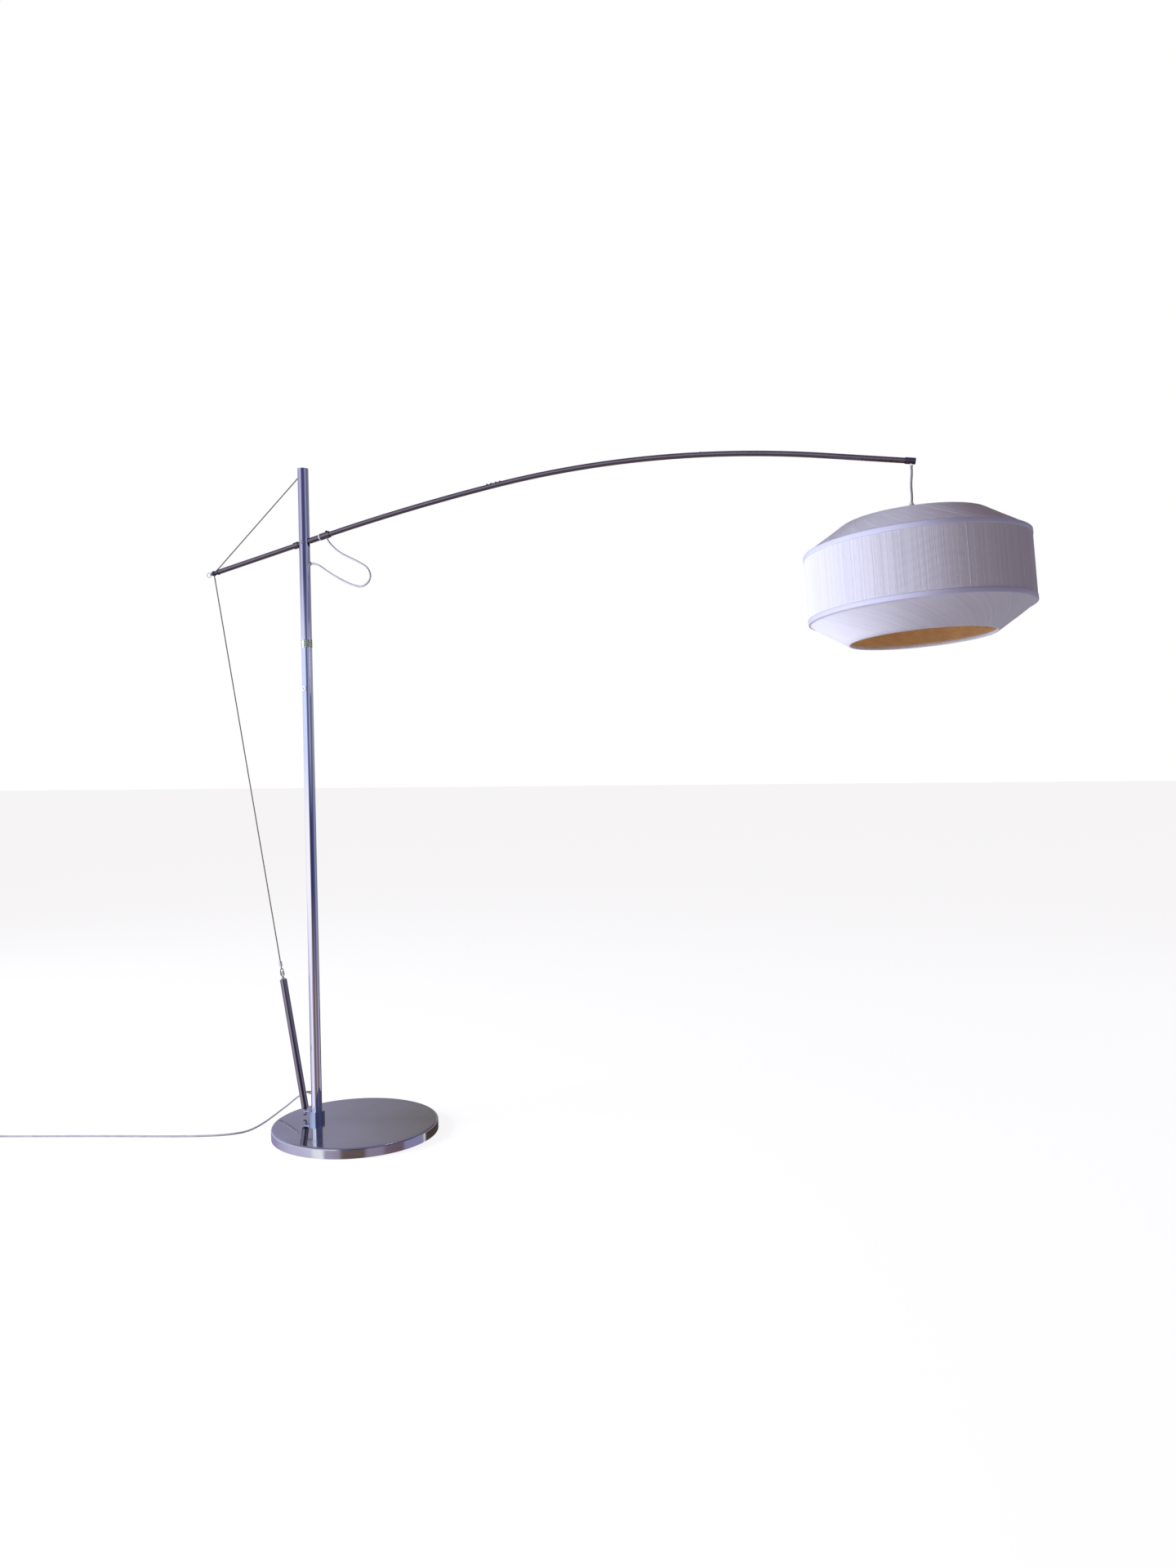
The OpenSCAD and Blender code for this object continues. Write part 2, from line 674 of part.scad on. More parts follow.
// Small domed screws in the arm's joints: four at the first, one at the second
module joint_screws() {
    shank_l = arm_wall + 1.2;
    head_z = arm_r + running;
    color([0.3, 0.3, 0.33]) {
        for (run = [-16, -6])
            on_stretch(0, section_1_l + run) translate([0, 0, head_z]) domed_screw(4.6, 2, 2, shank_l);
        for (run = [6, 16])
            on_stretch(1, run) translate([0, 0, head_z]) domed_screw(4.6, 2, 2, shank_l);
        on_stretch(1, section_2_l - 6) translate([0, 0, head_z]) domed_screw(3.2, 0.9, 2, shank_l);
    }
}

module tip_cap() {
    cap_from = section_3_end_l - 20;
    color([0.5, 0.5, 0.56]) difference() {
        union() {
            on_arm_end(cap_from) along_x() cylinder(d = arm_d + 2, h = 20 + 1);
            on_arm_end(section_3_end_l + 1) along_x() cylinder(d1 = arm_d + 2, d2 = arm_d - 1, h = 1.5);
        }
        on_arm_end(cap_from - 1) along_x() cylinder(d = arm_d + 2 * fit, h = 21);
        translate(tip_hole - [0, 0, arm_d]) cylinder(d = cord_d + 3.2, h = arm_d);
    }
}

// Soft bush that the flex leaves the arm through
module tip_bush() {
    color([0.9, 0.9, 0.92]) translate([tip_hole.x, 0, bush_z]) tube(cord_d + 2, cord_d + 2 * fit, 3);
}

// Flex inside the arm: in through the coupling, along the three sections and down at the tip
module arm_cord() {
    bend_r = cord_d;
    thin_d = cord_d - 2 * hairline;
    start = cord_entry + bend_r - joint_0;
    color([0.85, 0.85, 0.87]) union() {
        on_rear_arm(cord_entry) translate([0, 0, -arm_r - 3])
            cylinder(d = cord_d, h = arm_r + 3 - bend_r + lap);
        on_rear_arm(cord_entry) translate([0, 0, -bend_r]) flex_bend(bend_r);
        along_stretch(0, start - lap, section_1_l) circle(d = cord_d, $fn = 64);
        along_stretch(1, -lap, section_2_l + lap) circle(d = thin_d, $fn = 64);
        along_stretch(2, 0, section_3_curve_l) circle(d = cord_d, $fn = 64);
        on_arm_end(-lap) along_x() cylinder(d = thin_d, h = tip_hole_run - bend_r + 2 * lap);
        on_arm_end(tip_hole_run) translate([0, 0, -bend_r]) rotate([0, 0, 180]) flex_bend(bend_r);
        on_arm_end(tip_hole_run) translate([0, 0, -arm_r]) cylinder(d = cord_d, h = arm_r - bend_r + lap);
    }
}

// Ball-ended fitting on the arm's rear end that both cables run into
module cable_clamp() {
    ball_d = arm_d + 1;
    color([0.45, 0.45, 0.52]) difference() {
        union() {
            on_rear_arm(-rear_reach) sphere(d = ball_d);
            on_rear_arm(-rear_reach) along_x() cylinder(d = arm_d - 1.6, h = clamp_l - 1);
            on_rear_arm(-rear_reach + clamp_l - 3.2) along_x() cylinder(d = arm_d + 1.6, h = 3.1);
            on_rear_arm(-rear_reach + clamp_l - 1) along_x()
                cylinder(d = arm_bore_d - 2 * running, h = 14);
        }
        on_stay(1) cylinder(d = cable_d + 1, h = 2 * clamp_l);
        on_cable(cable_l - 1 - ball_d) cylinder(d = clamp_hole_d, h = ball_d);
        on_rear_arm(-rear_reach - ball_d) along_x() cylinder(d = 3 + 2 * running, h = ball_d);
    }
}

// Eye screw in the clamp, with a round wire eye
module clamp_screw() {
    head_l = 3;
    eye_r = 5.5;
    wire_d = 1.6;
    color([0.8, 0.8, 0.84]) on_rear_arm(-rear_reach - arm_r) along_x() union() {
        translate([0, 0, -0.7 - head_l]) cylinder(d = 6, h = head_l);
        translate([0, 0, -1]) cylinder(d = 3, h = arm_r - 1.5);
        translate([0, 0, -head_l - eye_r]) rotate([90, 0, 0])
            rotate_extrude() translate([eye_r, 0]) circle(d = wire_d);
    }
}

// ---- Cables and counter spring ----

module stay_cable() {
    color([0.7, 0.66, 0.55]) on_stay(5) cylinder(d = cable_d, h = stay_l + stop_from - 5 - hairline);
}

module stay_stop() {
    color([0.6, 0.6, 0.62]) on_stay(stay_l + stop_from) intersection() {
        translate([0, 0, 2.3]) sphere(d = stop_d);
        cylinder(d = stop_d + 1, h = stop_d);
    }
}

module spring_tube() {
    color([0.5, 0.5, 0.58]) on_cable(8)
        tube(spring_tube_d, spring_tube_d - 2, spring_tube_l);
}

// Guide at the tube's top that the pull rod slides through
module tube_cap() {
    color([0.55, 0.55, 0.62]) on_cable(8 + spring_tube_l - 10) difference() {
        union() {
            cylinder(d = spring_tube_d - 2 - 2 * running, h = 10);
            translate([0, 0, 10]) cylinder(d1 = spring_tube_d - 1, d2 = spring_tube_d - 7, h = 3);
        }
        translate([0, 0, -1]) cylinder(d = pull_rod_d + 2 * running, h = 16);
    }
}

// Plug in the tube's foot, with the wire hook that hangs in the collar's ear
module tube_hook() {
    wire_d = 3;
    hook_r = 4;
    drop = 7;
    color([0.45, 0.45, 0.5]) on_cable() union() {
        translate([0, 0, 8]) cylinder(d = spring_tube_d - 2 - 2 * running, h = 12);
        translate([0, 0, 4]) cylinder(d1 = 8, d2 = spring_tube_d - 3, h = 4.2);
        translate([0, 0, -drop]) cylinder(d = wire_d, h = drop + 5);
        translate([-hook_r, 0, -drop]) rotate([-90, 0, 0])
            rotate_extrude(angle = 150) translate([hook_r, 0]) circle(d = wire_d);
    }
}

// Compression spring between the tube's guide and the pull rod's foot
spring_from = 44;
spring_to = 8 + spring_tube_l - 12;
spring_turns = 30;
spring_mid_r = spring_tube_d / 2 - 1 - clear - spring_wire_d / 2;
function spring_pt(i, n) = [
    spring_mid_r * cos(360 * spring_turns * i / n),
    spring_mid_r * sin(360 * spring_turns * i / n),
    spring_from + spring_wire_d + (spring_to - spring_from - 2 * spring_wire_d) * i / n];

module balance_spring() {
    n = spring_turns * 12;
    color([0.5, 0.5, 0.52]) on_cable()
        swept([for (i = [0 : n]) spring_pt(i, n)], spring_wire_d, 6, [0, 0, 1]);
}

// Rod with a foot that presses on the spring and an eye that the cable loops through
module pull_rod() {
    top = 8 + spring_tube_l + 9;
    eye_r = 5;
    color([0.6, 0.6, 0.64]) on_cable() union() {
        translate([0, 0, spring_from - 5]) cylinder(d = spring_tube_d - 2 - 2 * clear, h = 4.5);
        translate([0, 0, spring_from - 3]) cylinder(d = pull_rod_d, h = top - spring_from + 3);
        translate([0, 0, top + eye_r]) rotate([90, 0, 0])
            rotate_extrude() translate([eye_r, 0]) circle(d = 2.4);
    }
}

module cable_ferrule() {
    color([0.75, 0.75, 0.78]) on_cable(8 + spring_tube_l + 33)
        tube(2 * cable_d + 1.6, cable_d + fit, 12);
}

// Lower cable from the loop around the pull rod's eye up to the clamp
module lower_cable() {
    loop_z = 8 + spring_tube_l + 20;
    color([0.7, 0.66, 0.55]) on_cable() union() {
        translate([0, 0, loop_z + 8]) cylinder(d = cable_d, h = cable_l - loop_z - 8 - 5);
        translate([0, 0, loop_z]) rotate([90, 0, 90])
            rotate_extrude() translate([7, 0]) circle(d = cable_d - 0.6);
    }
}

// ---- Pendant and shade ----

module pendant_cord() {
    color([0.85, 0.85, 0.87]) translate(grip_pt + [0, 0, clear])
        cylinder(d = cord_d, h = pendant_l - clear - hairline);
}

module cord_grip() {
    color([0.9, 0.9, 0.92]) on_pendant(-grip_h) difference() {
        rotate_extrude() polygon([
            [0, 0], [8, 0], [8, 4], [cord_d / 2 + 1.6, grip_h - 2],
            [cord_d / 2 + 1.2, grip_h], [0, grip_h]]);
        translate([0, 0, -1]) cylinder(d = cord_d, h = grip_h + 2);
    }
}

module holder_cap() {
    r = holder_d / 2 + 1;
    color([0.92, 0.92, 0.92]) on_pendant(-grip_h - cap_h) difference() {
        rotate_extrude() difference() {
            union() {
                square([r, cap_h - 10]);
                translate([0, cap_h - 11]) square([r - 10, 11 - hairline]);
                translate([r - 10, cap_h - 10.05]) circle(r = 10);
            }
            translate([-20, -20]) square([20, 60]);
        }
        translate([0, 0, -1]) cylinder(d = holder_d - 4, h = cap_h - 5);
        cylinder(d = cord_d, h = cap_h + 1);
    }
}

module holder_body() {
    top = -grip_h - cap_h - hairline;
    color([0.92, 0.92, 0.92]) on_pendant() difference() {
        union() {
            translate([0, 0, holder_foot_z]) cylinder(d = holder_d, h = top - holder_foot_z);
            translate([0, 0, hub_z + 1 + hairline]) cylinder(d = holder_d + 8, h = 2);
        }
        translate([0, 0, holder_foot_z - 1]) cylinder(d = socket_d, h = socket_depth + 1);
    }
}

module shade_ring() {
    color([0.92, 0.92, 0.92]) on_pendant(hub_z - 1 - 8) tube(holder_d + 14, holder_d + fit, 8 - hairline);
}

module bulb() {
    cap_top = holder_foot_z + socket_depth - 3;
    neck_z = holder_foot_z - 4;
    ball_z = neck_z - 50;
    color([0.97, 0.95, 0.9]) on_pendant() union() {
        translate([0, 0, neck_z]) cylinder(d = 26, h = cap_top - neck_z);
        translate([0, 0, ball_z + 18]) cylinder(r1 = 24, r2 = 12.4, h = neck_z - ball_z - 17);
        translate([0, 0, ball_z]) sphere(r = bulb_r);
    }
}

// Points on the shade's section, moved inwards by q from its outer face.
// Index 0 is the top mouth, 1 the band's top, 2 the band's foot and 3 the bottom mouth.
function corner_drop(q) = q * (1 - sin(cone_a)) / cos(cone_a);
function section_pt(i, q) =
    i == 0 ? [mouth_d / 2 - q * sin(cone_a), shade_top_z - q * cos(cone_a)]
    : i == 1 ? [shade_d / 2 - q, band_top_z - corner_drop(q)]
    : i == 2 ? [shade_d / 2 - q, band_foot_z + corner_drop(q)]
    : [mouth_d / 2 - q * sin(cone_a), shade_foot_z + q * cos(cone_a)];
function spoke_turn(n) = 120 * n + 30;
function wire_pt(i) = section_pt(i, frame_in)
    + (i == 0 ? frame_wire_d * [cos(cone_a), -sin(cone_a)]
    : i == 3 ? frame_wire_d * [cos(cone_a), sin(cone_a)] : [0, 0]);

module shell_between(points) {
    on_pendant() rotate_extrude($fn = 128) polygon(points);
}

// String over a cone, turned in around the wire ring of its mouth
module cone_skin() {
    along = [cos(cone_a), -sin(cone_a)];
    out = [sin(cone_a), cos(cone_a)];
    rim = section_pt(0, 0);
    rotate_extrude($fn = 128) polygon([
        rim - (string_t + hairline) * along, section_pt(1, 0), section_pt(1, string_t),
        rim - string_t * out - hairline * along, rim - fold_in * out - hairline * along,
        rim - fold_in * out + fold_l * along, rim - (fold_in + string_t) * out + fold_l * along,
        rim - (fold_in + string_t) * out - (string_t + hairline) * along]);
}

module top_skin() {
    color([0.86, 0.84, 0.9]) on_pendant() difference() {
        cone_skin();
        for (n = [0 : 2])
            translate([0, 0, hub_z]) rotate([0, 0, spoke_turn(n)]) along_x()
                cylinder(d = frame_wire_d + 2 * clear, h = wire_pt(0)[0]);
    }
}

module band_skin() {
    color([0.84, 0.82, 0.9]) shell_between([
        section_pt(1, 0) - [0, hairline], section_pt(2, 0) + [0, hairline],
        section_pt(2, string_t) + [0, hairline], section_pt(1, string_t) - [0, hairline]]);
}

module bottom_skin() {
    color([0.86, 0.84, 0.9]) on_pendant() translate([0, 0, shade_top_z + shade_foot_z])
        mirror([0, 0, 1]) cone_skin();
}

// Lining inside the frame, from one mouth's fold of string to the other's
module shade_lining() {
    near = fold_in;
    far = fold_in + lining_t;
    short = fold_l + clear;
    top_back = short * [cos(cone_a), -sin(cone_a)];
    foot_back = short * [cos(cone_a), sin(cone_a)];
    color([0.85, 0.7, 0.5]) shell_between([
        section_pt(0, near) + top_back, section_pt(1, near),
        section_pt(2, near), section_pt(3, near) + foot_back,
        section_pt(3, far) + foot_back, section_pt(2, far),
        section_pt(1, far), section_pt(0, far) + top_back]);
}

// Welded wire frame: four rings and the ribs between them
module shade_frame() {
    rib_d = frame_wire_d - 0.6;
    color([0.9, 0.9, 0.88]) on_pendant() union() {
        for (i = [0 : 3])
            translate([0, 0, wire_pt(i)[1]]) rotate_extrude($fn = 128)
                translate([wire_pt(i)[0], 0]) circle(d = frame_wire_d);
        for (n = [0 : frame_ribs - 1], i = [0 : 2])
            let (a = wire_pt(i), b = wire_pt(i + 1), run = norm(b - a))
                rotate([0, 0, (n + 0.5) * 360 / frame_ribs]) translate([a[0], 0, a[1]])
                    rotate([0, atan2(b[0] - a[0], b[1] - a[1]), 0]) cylinder(d = rib_d, h = run);
    }
}

// Hub and three spokes that carry the frame on the lampholder
module shade_spider() {
    hub_in = holder_d / 2 + clear;
    hub_w = 8.5;
    spoke_end = wire_pt(0)[0] - frame_wire_d / 2 - hairline;
    color([0.9, 0.9, 0.88]) on_pendant(hub_z) difference() {
        union() {
            translate([0, 0, -1]) cylinder(r = hub_in + hub_w, h = 2);
            for (n = [0 : 2])
                rotate([0, 0, spoke_turn(n)]) translate([hub_in + hub_w - 1, 0, 0]) along_x()
                    cylinder(d = frame_wire_d, h = spoke_end - hub_in - hub_w + 1);
        }
        translate([0, 0, -3]) cylinder(r = hub_in, h = 6);
    }
}

// Woven tapes along the band's two edges
module shade_tapes() {
    band_r = shade_d / 2 + fit;
    color([0.8, 0.78, 0.92]) for (z = [band_top_z - tape_w - clear, band_foot_z + clear])
        shell_between([
            [band_r, z], [band_r + tape_t, z],
            [band_r + tape_t, z + tape_w], [band_r, z + tape_w]]);
}

base_cover();
base_weight();
base_felt();
foot_bolt();
foot_collar();
mast_foot_plug();
mast_lower();
mast_upper();
mast_sleeve();
mast_screws();
mast_band();
mast_grommet();
mast_cap();
pivot_screw();
pivot_nut();
pivot_spacers();
cord_outlet();
cord_relief();
mast_cord();
mains_cord();
cord_coil();
cord_tie();
plug();
loop_cord();
rear_tube();
arm_collars();
coupling_washer();
front_coupling();
arm_section_1();
arm_section_2();
arm_section_3();
joint_sleeves();
joint_screws();
tip_cap();
tip_bush();
arm_cord();
cable_clamp();
clamp_screw();
stay_cable();
stay_stop();
spring_tube();
tube_cap();
tube_hook();
balance_spring();
pull_rod();
cable_ferrule();
lower_cable();
pendant_cord();
cord_grip();
holder_cap();
holder_body();
shade_ring();
bulb();
shade_spider();
shade_frame();
shade_lining();
top_skin();
band_skin();
bottom_skin();
shade_tapes();
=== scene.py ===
"""Looks of the arc floor lamp: chromed mast, base and arm, sheathed cables, flex and a string-wound shade."""
import json
import math
import random

import bpy
from mathutils import Matrix, Vector


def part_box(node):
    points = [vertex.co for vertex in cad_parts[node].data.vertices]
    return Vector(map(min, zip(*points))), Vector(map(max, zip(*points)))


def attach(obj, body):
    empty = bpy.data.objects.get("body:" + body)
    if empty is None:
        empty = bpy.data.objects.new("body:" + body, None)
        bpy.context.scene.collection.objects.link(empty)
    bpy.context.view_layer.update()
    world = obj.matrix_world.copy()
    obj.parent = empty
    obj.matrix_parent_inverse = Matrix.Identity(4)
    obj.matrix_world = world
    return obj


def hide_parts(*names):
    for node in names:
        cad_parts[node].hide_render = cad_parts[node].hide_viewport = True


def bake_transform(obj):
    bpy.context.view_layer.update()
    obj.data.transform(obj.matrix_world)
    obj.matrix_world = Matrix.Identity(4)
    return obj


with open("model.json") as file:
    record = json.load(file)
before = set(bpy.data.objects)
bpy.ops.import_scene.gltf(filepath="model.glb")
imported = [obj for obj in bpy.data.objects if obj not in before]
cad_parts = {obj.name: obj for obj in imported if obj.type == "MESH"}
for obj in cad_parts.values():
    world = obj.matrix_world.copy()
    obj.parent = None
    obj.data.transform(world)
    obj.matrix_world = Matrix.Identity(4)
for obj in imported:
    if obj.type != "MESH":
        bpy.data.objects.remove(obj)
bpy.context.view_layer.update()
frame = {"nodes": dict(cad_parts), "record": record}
nodes = frame["nodes"]
record = frame["record"]
joints = {joint["name"]: joint for joint in record["behaviour"]["joints"]}
MM = 0.001

# ---- Camera ----

CAMERA_AT = (1.301, -2.602, 0.9124)
CAMERA_FORWARD = Vector((-0.25995, 0.96529, -0.02553)).normalized()
CAMERA_RIGHT = Vector((0.96558, 0.25961, -0.01589))
SENSOR_H = 36.0
LENS = 27.04


def make_camera():
    data = bpy.data.cameras.new("camera")
    data.sensor_fit = "VERTICAL"
    data.sensor_height = SENSOR_H
    data.lens = LENS
    data.clip_end = 200
    camera = bpy.data.objects.new("camera", data)
    bpy.context.collection.objects.link(camera)
    back = -CAMERA_FORWARD
    right = (CAMERA_RIGHT - CAMERA_RIGHT.dot(back) * back).normalized()
    up = back.cross(right)
    turn = Matrix((right, up, back)).transposed().to_4x4()
    camera.matrix_world = Matrix.Translation(CAMERA_AT) @ turn
    bpy.context.scene.camera = camera


make_camera()

# ---- Shared helpers ----


def link(obj):
    bpy.context.collection.objects.link(obj)
    return obj


def mesh_piece(name, verts, faces, smooth=True):
    data = bpy.data.meshes.new(name)
    data.from_pydata([tuple(v) for v in verts], [], faces)
    data.validate()
    data.polygons.foreach_set("use_smooth", [smooth] * len(data.polygons))
    data.update()
    return link(bpy.data.objects.new(name, data))


def metres(route):
    return [Vector(p) * MM for p in route]


def smooth_path(points, steps):
    """A smooth line through the points."""
    path = []
    for i in range(len(points) - 1):
        a, b, c, d = points[max(i - 1, 0)], points[i], points[i + 1], points[min(i + 2, len(points) - 1)]
        for s in range(steps):
            t = s / steps
            path.append(0.5 * (2 * b + (c - a) * t + (2 * a - 5 * b + 4 * c - d) * t * t
                               + (3 * b - a - 3 * c + d) * t ** 3))
    return path + [points[-1]]


def tube_piece(name, path, diameter, sides=12):
    """Round flex as a mesh along a path in metres."""
    verts, faces = [], []
    side = Vector((0, 1, 0))
    for i, point in enumerate(path):
        heading = (path[min(i + 1, len(path) - 1)] - path[max(i - 1, 0)]).normalized()
        side = (side - side.dot(heading) * heading).normalized()
        other = heading.cross(side)
        for k in range(sides):
            a = math.tau * k / sides
            verts.append(point + diameter / 2 * (math.cos(a) * side + math.sin(a) * other))
    for i in range(len(path) - 1):
        for k in range(sides):
            j = (k + 1) % sides
            faces.append((i * sides + k, i * sides + j, (i + 1) * sides + j, (i + 1) * sides + k))
    faces.append(tuple(reversed(range(sides))))
    faces.append(tuple((len(path) - 1) * sides + k for k in range(sides)))
    return mesh_piece(name, verts, faces)


# ---- Flex ----

CORD_D = 5 * MM
STAY_D = 3 * MM
# How far the pendant flex reaches above the bend where the shade's swing starts
PENDANT_ABOVE = 0.0028
PENDANT_WAVE = 0.0007
PENDANT_STEPS = 15

LOOP_ROUTE = [
    (-88, 0, 1385), (-79, 0, 1384), (-66, -1, 1379), (-51, -2, 1369), (-35, -4, 1358),
    (-16, -6, 1347), (6, -7, 1335), (27, -8, 1326), (44, -8, 1322), (58, -8, 1325),
    (67, -7, 1333), (71, -6, 1344), (69, -5, 1355), (62, -4, 1366), (50, -3, 1375),
    (36, -2, 1383), (22, -1, 1390), (8, 0, 1397), (-5, 0, 1404), (-18, 0, 1413),
    (-29, 0, 1423), (-37, 0, 1432), (-43, 0, 1441),
]

MAINS_ROUTE = [
    (-134, 14, 86), (-146, 18, 83), (-160, 19, 75), (-176, 15, 63), (-191, 9, 50),
    (-206, -1, 38), (-219, -13, 27), (-232, -28, 17), (-245, -45, 9), (-259, -62, 4),
    (-275, -78, 2.7), (-293, -92, 2.7), (-316, -104, 2.7), (-346, -115, 2.7), (-382, -125, 2.7),
    (-430, -136, 2.7), (-488, -148, 2.7), (-556, -162, 2.7), (-632, -178, 2.7),
    (-712, -196, 2.7), (-788, -213, 2.7), (-850, -226, 2.7),
]

TAIL_ROUTE = [
    (-868, -298, 11), (-856, -309, 8), (-853, -324, 7.2), (-853, -336, 7.2),
]

COIL_AT = (-886, -263)
COIL_RADII = (34, 29, 24)
COIL_LAYERS = (3.3, 8.3, 13.3)
# The coil's turns in order, as places in COIL_RADII and COIL_LAYERS
COIL_TURNS = [(0, 0), (1, 0), (2, 0), (2, 1), (2, 2), (1, 2), (1, 1), (0, 1), (0, 2)]
COIL_STEPS = 16


def coil_route():
    """Points of the coil from its first turn to its last, wound counter-clockwise from the far side."""
    start = math.radians(100)
    points = []
    count = len(COIL_TURNS) * COIL_STEPS - 9
    for i in range(count + 1):
        turn = i / COIL_STEPS
        k = min(int(turn), len(COIL_TURNS) - 1)
        into = turn - k
        r, z = COIL_RADII[COIL_TURNS[k][0]], COIL_LAYERS[COIL_TURNS[k][1]]
        if k + 1 < len(COIL_TURNS) and into > 0.8:
            mix = (into - 0.8) / 0.2
            mix = mix * mix * (3 - 2 * mix)
            r += mix * (COIL_RADII[COIL_TURNS[k + 1][0]] - r)
            z += mix * (COIL_LAYERS[COIL_TURNS[k + 1][1]] - z)
        angle = start + math.tau * turn
        points.append((COIL_AT[0] + r * math.cos(angle), COIL_AT[1] + r * math.sin(angle), z))
    return points


def make_flex():
    loop_path = smooth_path(metres(LOOP_ROUTE), 4)
    loop = tube_piece("loop_flex", loop_path, CORD_D)
    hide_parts("loop_cord")
    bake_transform(loop)
    mains_path = smooth_path(metres(MAINS_ROUTE + coil_route() + TAIL_ROUTE), 2)
    mains = tube_piece("mains_flex", mains_path, CORD_D, 10)
    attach(mains, "stand")
    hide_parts("mains_cord", "cord_coil")
    at = joints["shade_swing"]["pos_m"]
    low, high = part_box("pendant_cord")
    drop = high[2] - low[2] + PENDANT_ABOVE
    points = []
    for i in range(PENDANT_STEPS + 1):
        t = i / PENDANT_STEPS
        points.append(Vector((at[0] + PENDANT_WAVE * math.sin(9 * t), at[1] + PENDANT_WAVE * math.sin(5 * t),
                              at[2] + PENDANT_ABOVE - drop * t)))
    pendant = tube_piece("pendant_flex", points, CORD_D)
    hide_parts("pendant_cord")
    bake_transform(pendant)
    return [loop, mains, pendant]


def make_stay():
    """The stay from the clamp on the arm to its hole in the mast, drawn as a straight sheath; on the real lamp it
    slackens as the arm dips.
    """
    low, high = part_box("stay_cable")
    foot = Vector((low[0] + 0.0011, 0, low[2] + 0.001))
    top = Vector((high[0] - 0.0011, 0, high[2] - 0.001))
    path = [foot.lerp(top, i / 24) for i in range(25)]
    stay = tube_piece("stay_sheath", path, STAY_D, 10)
    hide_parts("stay_cable")
    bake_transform(stay)
    return stay


def make_spring():
    """The counter spring, copied from its part; on the real lamp it is squeezed between the rod's foot and the tube's
    cap as the arm dips.
    """
    coil = link(bpy.data.objects.new("spring_coil", nodes["balance_spring"].data.copy()))
    coil.matrix_world = nodes["balance_spring"].matrix_world
    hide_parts("balance_spring")
    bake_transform(coil)
    return coil


flex_pieces = make_flex()
stay_piece = make_stay()
spring_piece = make_spring()

# ---- Materials ----


def material(name, color, metallic=0.0, rough=0.5, **sockets):
    made = bpy.data.materials.new(name)
    made.use_nodes = True
    shader = made.node_tree.nodes["Principled BSDF"]
    shader.inputs["Base Color"].default_value = (*color, 1)
    shader.inputs["Metallic"].default_value = metallic
    shader.inputs["Roughness"].default_value = rough
    for socket, value in sockets.items():
        shader.inputs[socket.replace("_", " ")].default_value = value
    return made


def noise(made, scale, detail=3.0, stretch=(1, 1, 1)):
    """Noise in the object's own space."""
    tree = made.node_tree
    coords = tree.nodes.new("ShaderNodeTexCoord")
    mapping = tree.nodes.new("ShaderNodeMapping")
    mapping.inputs["Scale"].default_value = stretch
    tree.links.new(coords.outputs["Object"], mapping.inputs["Vector"])
    texture = tree.nodes.new("ShaderNodeTexNoise")
    texture.inputs["Scale"].default_value = scale
    texture.inputs["Detail"].default_value = detail
    tree.links.new(mapping.outputs["Vector"], texture.inputs["Vector"])
    return texture.outputs["Fac"]


def between(made, fac, low, high, start=0.3, end=0.7):
    """Maps a noise value to a range."""
    tree = made.node_tree
    node = tree.nodes.new("ShaderNodeMapRange")
    node.inputs["From Min"].default_value = start
    node.inputs["From Max"].default_value = end
    node.inputs["To Min"].default_value = low
    node.inputs["To Max"].default_value = high
    tree.links.new(fac, node.inputs["Value"])
    return node.outputs["Result"]


def two_tone(made, fac, low, high, start=0.3, end=0.7):
    """Maps a noise value to a mix of two colours."""
    tree = made.node_tree
    ramp = tree.nodes.new("ShaderNodeValToRGB")
    ramp.color_ramp.elements[0].position = start
    ramp.color_ramp.elements[0].color = (*low, 1)
    ramp.color_ramp.elements[1].position = end
    ramp.color_ramp.elements[1].color = (*high, 1)
    tree.links.new(fac, ramp.inputs["Fac"])
    return ramp.outputs["Color"]


def feed(made, socket, output):
    shader = made.node_tree.nodes["Principled BSDF"]
    made.node_tree.links.new(output, shader.inputs[socket])


def bump(made, height, distance, strength=1.0):
    tree = made.node_tree
    node = tree.nodes.new("ShaderNodeBump")
    node.inputs["Distance"].default_value = distance
    node.inputs["Strength"].default_value = strength
    tree.links.new(height, node.inputs["Height"])
    feed(made, "Normal", node.outputs["Normal"])


def chrome(name, color, smooth, worn, scale):
    """Old chrome: mirror bright, a little duller in soft patches."""
    made = material(name, color, 1.0, smooth)
    feed(made, "Roughness", between(made, noise(made, scale, 2), smooth, worn, 0.35, 0.75))
    return made


def base_material():
    """The base's chrome, greyed by fine wear, with faint brushed waves."""
    made = material("base_chrome", (0.62, 0.62, 0.68), 1.0, 0.08)
    patina = noise(made, 5, 4)
    feed(made, "Base Color", two_tone(made, patina, (0.56, 0.57, 0.60), (0.68, 0.67, 0.75), 0.35, 0.7))
    feed(made, "Roughness", between(made, noise(made, 26, 6), 0.06, 0.16, 0.35, 0.75))
    bump(made, noise(made, 60, 2, (1, 4, 1)), 0.00006, 0.5)
    return made


def string_material():
    """Wound yarn, each thread a little lighter or darker than its neighbours at random; the thread tones also carry
    painted shade in the valleys between threads and painted glints on the proud threads.
    """
    made = material("yarn", (0.80, 0.79, 0.82), 0.0, 0.6, Sheen_Weight=0.25, Sheen_Roughness=0.4,
                    Specular_IOR_Level=0.3)
    tree = made.node_tree
    attribute = tree.nodes.new("ShaderNodeAttribute")
    attribute.attribute_name = "thread"
    color = two_tone(made, attribute.outputs["Fac"], (0.71, 0.695, 0.75), (0.89, 0.885, 0.955), 0.0, 1.0)
    feed(made, "Base Color", color)
    bump(made, noise(made, 900, 2), 0.0002, 0.5)
    return made


def flex_material(name, color):
    """Soft plastic flex, a little dirty in places."""
    made = material(name, color, 0.0, 0.42)
    dirty = tuple(0.86 * c for c in color)
    feed(made, "Base Color", two_tone(made, noise(made, 45, 4), dirty, color, 0.35, 0.6))
    return made


